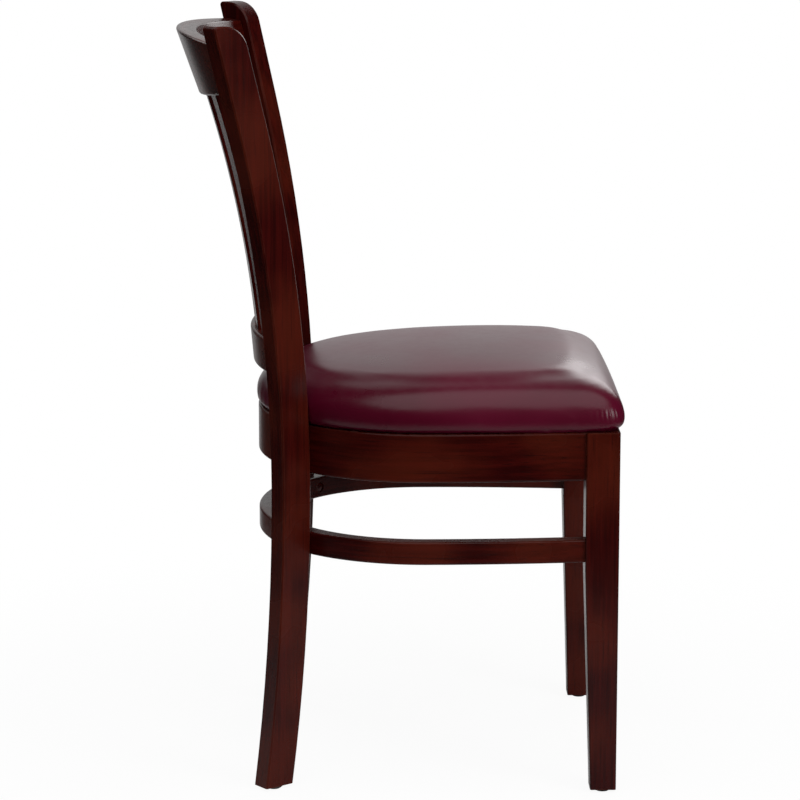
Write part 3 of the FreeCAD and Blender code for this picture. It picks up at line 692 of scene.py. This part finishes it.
@dataclass
class ScrewPlugs:
    """Small turned plugs over the screw heads inside the bent rings, at the rear legs."""

    radius: float = 0.0061
    eased: float = 0.0005
    thickness: float = 0.0021
    inset: float = 0.0194
    spread: float = 0.012
    points: int = 32
    sharp: float = math.radians(40)

    def build(self, material: Material, slot: str) -> None:
        """Make a plug for each screw.

        Args:
            material: The stain of the plugs.
            slot: The record's slot of that stain; not used.
        """
        apron, stretcher = (sum(corner[2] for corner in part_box(name)) / 2 for name in WoodenFrame.rings)
        places = [(side, height) for side in (1, -1)
                  for height in (apron + self.spread, apron - self.spread, stretcher)]
        profile = ((0.0, self.radius - self.eased / 2), (self.thickness - self.eased, self.radius),
                   (self.thickness, self.radius - self.eased),
                   (self.thickness + self.eased / 2, self.radius / 2),
                   (self.thickness + self.eased, self.eased))
        turns = np.linspace(0.0, 2 * math.pi, self.points, endpoint=False)
        up = Vector((0, 0, 1))
        for number, (side, height) in enumerate(places, 1):
            mount, out = StileMount(side).place(), StileMount(side).outward()
            across, face = out.cross(up), mount - out * (self.inset - self.thickness)
            face.z = height
            spokes = [across * math.cos(turn) + up * math.sin(turn) for turn in turns]
            rings = [np.array([face - out * depth + radius * spoke for spoke in spokes])
                     for depth, radius in profile]
            plug = piece_from_rings(f"screw_plug_{number}", rings)
            plug.data.shade_smooth()
            plug.data.set_sharp_from_angle(angle=self.sharp)
            plug.data.materials.append(material)
            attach(plug, BODY)
            log.info("screw_plug_%d", number)


@dataclass
class Fixings:
    """What holds the chair together and what it stands on."""

    bare: BareWood = BareWood("bare_beech", "raw_wood", rgb(0.34, 0.20, 0.10), rgb(0.52, 0.35, 0.20))
    ply: BareWood = BareWood("plywood_face", "plywood", rgb(0.40, 0.26, 0.14), rgb(0.58, 0.42, 0.26))
    metal: Metal = Metal()
    plastic: Moulded = Moulded()

    def dress(self) -> None:
        """Finish each fixing by its slot."""
        slots = {item["node"]: item["material_slot"] for item in frame["record"]["subparts"]}
        for finish in (self.bare, self.ply, self.metal, self.plastic):
            finish.dress([name for name, slot in slots.items() if slot == finish.slot], finish.material())


@dataclass
class SeatPlan:
    """The padded seat's outline, seen from above, about the middle of its widest line."""

    half: float = 0.2135
    front_half: float = 0.206
    front: float = -0.2225
    rear: float = 0.197
    corner: float = 0.025
    rear_angle: float = math.radians(24.8)
    fine: int = 720

    def half_line(self, steps: int = 120) -> np.ndarray:
        """The sitter's left half of the outline, from the front's middle to the rear's middle.

        Args:
            steps: How many points each of its arcs has.

        Returns:
            The points as rows.
        """
        sine, cosine = math.sin(self.rear_angle), math.cos(self.rear_angle)
        difference = (self.half - self.rear) / (sine + cosine - 1)
        corner = self.half - difference * sine
        rear_radius = corner + difference
        reach, drop = -self.front - self.corner, self.half - self.front_half
        side_radius = (reach ** 2 + drop ** 2) / (2 * drop)
        side_angle = math.asin(reach / side_radius)
        arcs = (
            (self.front_half - self.corner, self.front + self.corner, self.corner, -math.pi / 2, 0.0),
            (self.half - side_radius, 0.0, side_radius, -side_angle, 0.0),
            (self.half - corner, 0.0, corner, 0.0, math.pi / 2 - self.rear_angle),
            (0.0, self.rear - rear_radius, rear_radius, math.pi / 2 - self.rear_angle, math.pi / 2),
        )
        line = [np.array([[0.0, self.front]])]
        for x, y, radius, start, end in arcs:
            angles = np.linspace(start, end, steps)
            line.append(np.column_stack((x + radius * np.cos(angles), y + radius * np.sin(angles))))
        return np.vstack(line)

    def points(self, count: int) -> np.ndarray:
        """Evenly spaced points once round the outline, from the front's middle by the left.

        Args:
            count: How many there are.

        Returns:
            The points as rows.
        """
        left = self.half_line()
        right = left[::-1] * (-1, 1)
        line = np.vstack((left, right))
        steps = np.r_[0.0, np.cumsum(np.linalg.norm(np.diff(line, axis=0), axis=1))]
        wanted = np.linspace(0.0, steps[-1], count, endpoint=False)
        return np.column_stack([np.interp(wanted, steps, line[:, axis]) for axis in (0, 1)])

    def reach(self, places: np.ndarray) -> np.ndarray:
        """How far out places lie, as a share of the outline in their direction.

        Args:
            places: The places as rows.

        Returns:
            The share for each place.
        """
        line = self.points(self.fine)
        angles = np.unwrap(np.arctan2(line[:, 1], line[:, 0]))
        radii = np.linalg.norm(line, axis=1)
        wanted = (np.arctan2(places[:, 1], places[:, 0]) - angles[0]) % (2 * math.pi)
        limit = np.interp(wanted, np.r_[angles - angles[0], 2 * math.pi], np.r_[radii, radii[0]])
        return np.linalg.norm(places, axis=1) / limit

    def area(self, scale: float) -> float:
        """The area inside the outline at a scale."""
        x, y = (self.points(self.fine) * scale).T
        return 0.5 * abs(float(np.dot(x, np.roll(y, -1)) - np.dot(y, np.roll(x, -1))))


def middle_of_seat() -> Vector:
    """The middle of the seat's widest line, on top of the apron."""
    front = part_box("front_leg_left")[0][1]
    return Vector((0.0, front + StainedWood.widest_setback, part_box("seat_apron")[1][2]))


def piece_from_rings(name: str, rings: list[np.ndarray], closed: bool = True) -> Object:
    """A piece through outlines of equal counts.

    Args:
        name: The piece's name.
        rings: Each outline's points, from the first to the last, which has a face across it.
        closed: Whether the first has one too.

    Returns:
        The new object.
    """
    count = len(rings[0])
    faces = []
    last = (len(rings) - 1) * count
    for low in range(0, last, count):
        high = low + count
        for turn in range(count):
            following = (turn + 1) % count
            faces.append([low + turn, low + following, high + following, high + turn])
    if closed:
        faces.append(list(range(count))[::-1])
    faces.append(list(range(last, last + count)))
    mesh = bpy.data.meshes.new(name)
    mesh.from_pydata(np.vstack(rings).tolist(), [], faces)
    mesh.update()
    piece = bpy.data.objects.new(name, mesh)
    bpy.context.scene.collection.objects.link(piece)
    return piece


def vertices(mesh: Mesh, what: str = "co") -> np.ndarray:
    """Where a mesh's vertices are, or another triple that they hold.

    Args:
        mesh: The mesh.
        what: The name of the triple.

    Returns:
        A row for each vertex.
    """
    flat = np.empty(3 * len(mesh.vertices))
    mesh.vertices.foreach_get(what, flat)
    return flat.reshape(-1, 3)


def move_to(mesh: Mesh, places: np.ndarray) -> None:
    """Move a mesh's vertices."""
    mesh.vertices.foreach_set("co", places.ravel())
    mesh.update()


def settle(piece: Object) -> None:
    """Make a piece's modifiers part of its mesh, and remove them.

    Args:
        piece: The piece.
    """
    whole = piece.evaluated_get(bpy.context.evaluated_depsgraph_get())
    mesh = bpy.data.meshes.new_from_object(whole)
    piece.modifiers.clear()
    piece.data = mesh


def evened(mesh: Mesh, values: np.ndarray, rounds: int, regain: float = 0.0) -> np.ndarray:
    """Even out a value along a mesh's edges.

    Args:
        mesh: The mesh whose edges join the points.
        values: The value at each point.
        rounds: How often each value moves halfway to its neighbours' mean.
        regain: The share by which it then moves back, so that a form keeps its size.

    Returns:
        The evened values.
    """
    ends = np.empty(2 * len(mesh.edges), dtype=np.int32)
    mesh.edges.foreach_get("vertices", ends)
    first, second = ends.reshape(-1, 2).T
    count = len(values)
    number = np.maximum(np.bincount(ends, minlength=count), 1)
    for _ in range(rounds):
        for share in (0.5, -regain):
            total = np.bincount(first, values[second], count) + np.bincount(second, values[first], count)
            values = values + share * (total / number - values)
    return values


def bell(distance: np.ndarray, width: float) -> np.ndarray:
    """A smooth hump, 1 in its middle."""
    return np.exp(-(distance / width) ** 2)


@dataclass
class PaddedSeat:
    """The vinyl seat pad: crowned, with a rolled edge tucked under, and gathered at the front corners."""

    plan: SeatPlan = field(default_factory=SeatPlan)
    finish: Vinyl = Vinyl()
    crown: float = 0.0664
    bulge: float = 0.013
    tuck: float = 0.982
    power: float = 10.5
    fullness: float = 2.1
    lean: float = 0.192
    arch: float = 0.203
    arch_reach: float = 0.2
    camber: float = 0.27
    outline: int = 200
    layers: int = 48
    layer_span: Step = (0.04, 0.99)
    smallest: float = 0.005
    slack: float = 0.0012
    voxel: float = 0.0045
    swell: float = 0.003
    evening: int = 60
    smoothing: tuple[int, int] = (50, 30)
    regain: float = 0.52
    pressure: float = 4.0
    frames: int = 20
    cloth: tuple[tuple[str, float], ...] = (("quality", 6), ("mass", 0.4), ("tension_stiffness", 30.0),
                                            ("compression_stiffness", 30.0), ("bending_stiffness", 6.0))
    hem: float = 0.8207
    hem_thickness: float = 0.0012
    rest_gap: float = 0.0002
    undercut: float = 0.020
    undercut_height: float = 0.007
    under_facing: float = -0.7
    under_height: float = 0.004
    pull: float = 0.00005
    pull_scale: float = 9.0
    pull_height: float = 0.02
    pleat: float = 0.0055
    pleat_depth: float = 0.00022
    pleat_height: float = 0.020
    pleat_turn: float = -0.013
    pleat_run: float = 0.017
    pleat_band: float = 0.008
    pleat_clear: float = 0.3
    pleat_slant: float = 0.12
    pleat_level: float = 0.4
    pleat_least: float = 0.03
    leg_gap: float = 0.0006
    leg_ease: float = 0.9
    leg_reach: float = 0.05
    leg_beside: float = 0.012
    stile_half: float = 0.012
    knee_below: float = 0.068
    bend_radius: float = 1.5
    housing: float = 0.0025

    def rings(self) -> list[np.ndarray]:
        """The slack pad's outlines, from under its edge up to the crown.

        Returns:
            Each outline's points.
        """
        line = self.plan.points(self.outline)
        middle = middle_of_seat()
        shrink = self.slack / self.plan.half
        rise = self.crown - self.bulge - self.slack
        levels = [(self.rest_gap, self.tuck), (self.bulge / 2, (self.tuck + 3) / 4), (self.bulge, 1.0)]
        for scale in 1 - np.linspace(*self.layer_span, self.layers) ** 2:
            height = rise * (1 - scale ** self.power) ** (1 / self.fullness)
            levels.append((self.bulge + height, scale))
        rings = []
        for height, scale in levels:
            flat = line * max(scale - shrink, self.smallest)
            forward, aside = -flat[:, 1] / self.arch_reach, flat[:, 0] / self.plan.half
            dome = self.lean * forward - self.arch * forward ** 2 - self.camber * aside ** 2
            above = max(height - self.bulge, 0.0) * dome
            rings.append(np.column_stack((flat + (middle.x, middle.y), middle.z + height + above)))
        return rings

    def inflate(self, pad: Object) -> None:
        """Blow the slack pad up as cloth, held along its underside.

        Args:
            pad: The pad, whose mesh takes the result.
        """
        start, facing = vertices(pad.data), vertices(pad.data, "normal")
        held = pad.vertex_groups.new(name="held")
        low = middle_of_seat().z + self.bulge / 3
        held.add([index for index, place in enumerate(start) if place[2] < low], 1.0, "REPLACE")
        cloth = pad.modifiers.new("cloth", "CLOTH")
        cloth.settings.vertex_group_mass = held.name
        for name, value in self.cloth:
            setattr(cloth.settings, name, value)
        cloth.settings.use_pressure = True
        cloth.settings.uniform_pressure_force = self.pressure
        cloth.settings.effector_weights.gravity = 0.0
        cloth.point_cache.frame_end = self.frames
        for number in range(1, self.frames + 1):
            bpy.context.scene.frame_set(number)
        blown = pad.evaluated_get(bpy.context.evaluated_depsgraph_get())
        outward = np.sum((vertices(blown.data) - start) * facing, axis=1)
        pad.modifiers.clear()
        pad.vertex_groups.clear()
        bpy.context.scene.frame_set(1)
        outward = np.clip(evened(pad.data, outward, self.evening), 0.0, self.swell)
        move_to(pad.data, start + facing * outward[:, None])
        log.info("seat pad: swelled by %.1f mm, at most %.1f mm", 1000 * outward.mean(), 1000 * outward.max())

    def smooth(self, pad: Object) -> None:
        """Even out the pad's surface at its full size, and divide it once.

        Args:
            pad: The pad.
        """
        for rounds in self.smoothing:
            places = vertices(pad.data)
            move_to(pad.data, np.column_stack([evened(pad.data, places[:, axis], rounds, self.regain)
                                               for axis in range(3)]))
            if rounds == self.smoothing[0]:
                pad.modifiers.new("divide", "SUBSURF").levels = 1
                settle(pad)

    def pleats(self, places: np.ndarray) -> tuple[np.ndarray, np.ndarray]:
        """Where the cover is drawn into small pleats round each front corner.

        Args:
            places: The pad's points about the seat's middle.

        Returns:
            How strongly each point is drawn, and how far along the pleats it is.
        """
        drawn, along = np.zeros(len(places)), np.zeros(len(places))
        for side in (1, -1):
            corner = np.array([side * (self.plan.front_half - self.plan.corner),
                               self.plan.front + self.plan.corner])
            out = places[:, :2] - corner
            run = (np.arctan2(-out[:, 1], side * out[:, 0]) - math.pi / 4) * self.plan.corner
            window = bell(run - self.pleat_turn, self.pleat_run)
            window *= bell(places[:, 2] - self.pleat_height, self.pleat_band)
            window *= np.linalg.norm(out, axis=1) > self.pleat_clear * self.plan.corner
            along = np.where(window > drawn, run + self.pleat_slant * places[:, 2], along)
            drawn = np.maximum(drawn, window)
        return drawn, along

    def refine(self, pad: Object) -> None:
        """Divide the faces that the pleats cross.

        Args:
            pad: The pad.
        """
        edit = bmesh.new()
        edit.from_mesh(pad.data)
        drawn = self.pleats(vertices(pad.data) - np.array(middle_of_seat()))[0]
        crossed = [edge for edge in edit.edges
                   if max(drawn[point.index] for point in edge.verts) > self.pleat_least]
        bmesh.ops.subdivide_edges(edit, edges=crossed, cuts=1, use_grid_fill=True)
        edit.to_mesh(pad.data)
        edit.free()
        pad.data.update()

    def clear_legs(self, places: np.ndarray) -> np.ndarray:
        """Draw the pad in where it meets the rear legs.

        Args:
            places: The pad's points about the seat's middle.

        Returns:
            The points after they are drawn in.
        """
        face = self.bend_radius - np.sqrt(self.bend_radius ** 2 - (places[:, 2] + self.knee_below) ** 2)
        for side in (1, -1):
            out = np.array(StileMount(side).outward()[:2])
            across = np.array([-out[1], out[0]])
            local = places[:, :2] - np.array((StileMount(side).place() - middle_of_seat())[:2])
            beside = np.maximum(np.abs(local @ across) - self.stile_half - self.leg_gap, 0.0)
            limit = face - self.housing - self.leg_gap + self.leg_ease * beside
            near = (local @ out > -self.leg_reach) & (beside < self.leg_beside)
            excess = np.maximum(local @ out - limit, 0.0) * near
            places[:, :2] -= excess[:, None] * out
        return places

    def shape(self, pad: Object) -> None:
        """Give the blown pad its undercut, pleats, pulls, leg hollows and hem.

        Args:
            pad: The pad.
        """
        self.refine(pad)
        middle = np.array(middle_of_seat())
        facing = vertices(pad.data, "normal")
        places = vertices(pad.data) - middle
        pulls = np.array([noise.noise(Vector(place) * self.pull_scale) for place in places])
        above = np.clip(places[:, 2] / self.pull_height, 0.0, 1.0)
        drawn, along = self.pleats(places)
        wave = np.cos(2 * math.pi * along / self.pleat) - self.pleat_level
        places += facing * (self.pull * pulls * above + self.pleat_depth * drawn * wave)[:, None]
        below = np.clip(1 - places[:, 2] / self.undercut_height, 0.0, 1.0)
        places[:, :2] *= 1 - self.undercut * below[:, None] ** 2
        places = self.clear_legs(places)
        under = facing[:, 2] < self.under_facing
        inside = self.plan.reach(places[:, :2]) < self.hem
        low = under & (places[:, 2] < self.under_height)
        places[low, 2] = np.where(inside[low], self.hem_thickness, self.rest_gap)
        move_to(pad.data, places + middle)

    def build(self) -> Object:
        """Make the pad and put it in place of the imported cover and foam.

        Returns:
            The finished piece.
        """
        pad = piece_from_rings("seat_pad", self.rings())
        remesh = pad.modifiers.new("remesh", "REMESH")
        remesh.mode, remesh.voxel_size = "VOXEL", self.voxel
        settle(pad)
        self.inflate(pad)
        self.smooth(pad)
        self.shape(pad)
        pad.data.shade_smooth()
        pad.data.materials.append(self.finish.material())
        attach(pad, BODY)
        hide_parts("seat_cover", "seat_foam")
        log.info("seat_pad: %d points", len(pad.data.vertices))
        return pad


@dataclass
class DustCover:
    """The cloth stretched under the seat, inside the hem."""

    plan: SeatPlan = field(default_factory=lambda: SeatPlan(front=-0.221, corner=0.030))
    finish: NonWoven = NonWoven()
    scale: float = 0.8190
    height: float = 0.0007
    sag: float = 0.003
    outline: int = 140
    rings: int = 26
    innermost: float = 0.02
    ripple: float = 0.0003
    ripples: int = 9

    def build(self) -> Object:
        """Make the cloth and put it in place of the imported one.

        Returns:
            The finished piece.
        """
        middle = middle_of_seat()
        line = self.plan.points(self.outline)
        waves = self.ripple * np.sin(self.ripples * np.arctan2(line[:, 1], line[:, 0]))
        rows = []
        for share in np.linspace(1.0, self.innermost, self.rings):
            ripple = waves * share ** 4 * (1 - share)
            drop = self.height - self.sag * (1 - share ** 2) + ripple
            rows.append(np.column_stack((line * self.scale * share + (middle.x, middle.y), middle.z + drop)))
        cloth = piece_from_rings("dust_cloth", rows, closed=False)
        cloth.data.shade_smooth()
        cloth.data.materials.append(self.finish.material())
        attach(cloth, BODY)
        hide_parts("dust_cover")
        self.plan.area(self.scale)
        return cloth


@dataclass(frozen=True)
class Softbox:
    """A soft studio lamp."""

    name: str
    place: tuple[float, float, float]
    size: float
    power: float
    aim: tuple[float, float, float] = (0.0, 0.0, 0.42)

    def build(self) -> None:
        """Hang the lamp and turn it to the chair."""
        lamp = bpy.data.lights.new(self.name, "AREA")
        lamp.shape, lamp.size, lamp.energy = "DISK", self.size, self.power
        rig = bpy.data.objects.new(self.name, lamp)
        rig.location = self.place
        rig.rotation_euler = (Vector(self.aim) - Vector(self.place)).to_track_quat("-Z", "Y").to_euler()
        rig.visible_camera = False
        bpy.context.scene.collection.objects.link(rig)


@dataclass
class Studio:
    """A pale floor, a white surround and soft lamps."""

    lamps: tuple[Softbox, ...] = (
        Softbox("overhead", (-0.95, -0.15, 2.6), 3.2, 66.0),
        Softbox("front", (-2.2, -2.4, 1.3), 1.5, 56.0),
        Softbox("rear", (1.9, 2.2, 1.9), 1.5, 16.0),
        Softbox("left", (2.5, -1.2, 1.8), 1.5, 20.0),
    )
    ambient: float = 0.16
    behind: float = 0.74
    before: float = 0.03
    backdrop_begin: Step = (0.42, 0.70)
    backdrop_side: Step = (0.23, 0.40)
    floor_radius: float = 1.1
    floor_points: int = 96
    floor_roughness: float = 0.9
    fade_from: float = 0.35
    fade_to: float = 0.95
    fade_least: float = 0.94
    floor_colour: Colour = rgb(0.72, 0.72, 0.72)

    def surround(self) -> None:
        """White to the eye all round; in reflections bright behind the chair and dim before it."""
        world = bpy.data.worlds.new("surround")
        world.use_nodes = True
        bpy.context.scene.world = world
        graph = Graph(world.node_tree)
        path = graph.add("LightPath").outputs
        direction = graph.add("SeparateXYZ", {0: graph.add("TexCoord").outputs["Generated"]}).outputs
        beside = graph.math("ABSOLUTE", direction["Y"])
        backdrop = graph.math("MULTIPLY", graph.ramp(direction["X"], *self.backdrop_begin),
                              graph.ramp(beside, *self.backdrop_side, 1.0, 0.0))
        mirrored = graph.ramp(backdrop, 0.0, 1.0, self.before, self.behind)
        seen = graph.math("MAXIMUM", path["Is Camera Ray"], path["Is Transmission Ray"])
        other = graph.math("SUBTRACT", 1.0, graph.math("MAXIMUM", seen, path["Is Glossy Ray"]))
        glossy = graph.math("MULTIPLY", path["Is Glossy Ray"], mirrored)
        strength = graph.math("ADD", seen, graph.raised(glossy, other, self.ambient))
        background = world.node_tree.nodes["Background"].inputs
        background["Color"].default_value = WHITE
        graph.feed(background["Strength"], strength)

    def floor(self) -> None:
        """A round pale floor that fades to white and keeps the chair's shadow."""
        mesh = bpy.data.meshes.new("floor")
        turns = [2 * math.pi * step / self.floor_points for step in range(self.floor_points)]
        mesh.from_pydata([(self.floor_radius * math.cos(turn), self.floor_radius * math.sin(turn), 0.0)
                          for turn in turns], [], [list(range(self.floor_points))])
        floor = bpy.data.objects.new("floor", mesh)
        bpy.context.scene.collection.objects.link(floor)
        material = bpy.data.materials.new("pale_floor")
        material.use_nodes = True
        graph = Graph(material.node_tree)
        surface = material.node_tree.nodes["Principled BSDF"]
        surface.inputs["Base Color"].default_value = self.floor_colour
        surface.inputs["Roughness"].default_value = self.floor_roughness
        surface.inputs["Specular IOR Level"].default_value = 0.0
        path = graph.add("LightPath").outputs
        reach = graph.add("VectorMath", {0: graph.add("TexCoord").outputs["Object"]}, operation="LENGTH")
        fade = graph.ramp(reach.outputs["Value"], self.fade_from, self.fade_to * self.floor_radius,
                          self.fade_least, 1.0)
        seen = graph.math("MAXIMUM", path["Is Camera Ray"], path["Is Transmission Ray"])
        share = graph.math("MULTIPLY", fade, seen)
        white = graph.add("Emission", {"Color": WHITE, "Strength": 1.0}).outputs[0]
        mixed = graph.add("MixShader", {0: share, 1: surface.outputs[0], 2: white})
        graph.feed(material.node_tree.nodes["Material Output"].inputs["Surface"], mixed.outputs[0])
        mesh.materials.append(material)

    def build(self) -> None:
        """Set the studio up."""
        bpy.context.scene.view_settings.view_transform = "Standard"
        self.surround()
        self.floor()
        for lamp in self.lamps:
            lamp.build()


@dataclass(frozen=True)
class SideCamera:
    """A long lens at the chair's right side, a little higher than its back and turned down to the seat."""

    lens: float = 137.53
    sensor: float = 36.0
    yaw: float = 0.01384
    pitch: float = 0.19049
    aside: float = -3.5303
    setback: float = 0.29176
    height: float = 1.0978

    def build(self) -> None:
        """Place the camera."""
        data = bpy.data.cameras.new("side_camera")
        data.lens, data.sensor_width = self.lens, self.sensor
        camera = bpy.data.objects.new("side_camera", data)
        level = math.cos(self.pitch)
        forward = Vector((math.cos(self.yaw) * level, -math.sin(self.yaw) * level, -math.sin(self.pitch)))
        right = forward.cross(Vector((0, 0, 1))).normalized()
        turn = Matrix((right, right.cross(forward), -forward)).transposed().to_4x4()
        place = Vector((self.aside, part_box("front_leg_left")[0][1] + self.setback, self.height))
        camera.matrix_world = Matrix.Translation(place) @ turn
        bpy.context.scene.collection.objects.link(camera)
        bpy.context.scene.camera = camera


def main() -> None:
    """Dress the frame, make the soft pieces and set the studio up."""
    logging.basicConfig(level=logging.INFO, format="%(name)s: %(message)s")
    WoodenFrame().dress()
    Fixings().dress()
    PaddedSeat().build()
    DustCover().build()
    Studio().build()
    SideCamera().build()


if __name__ == "__main__":
    main()
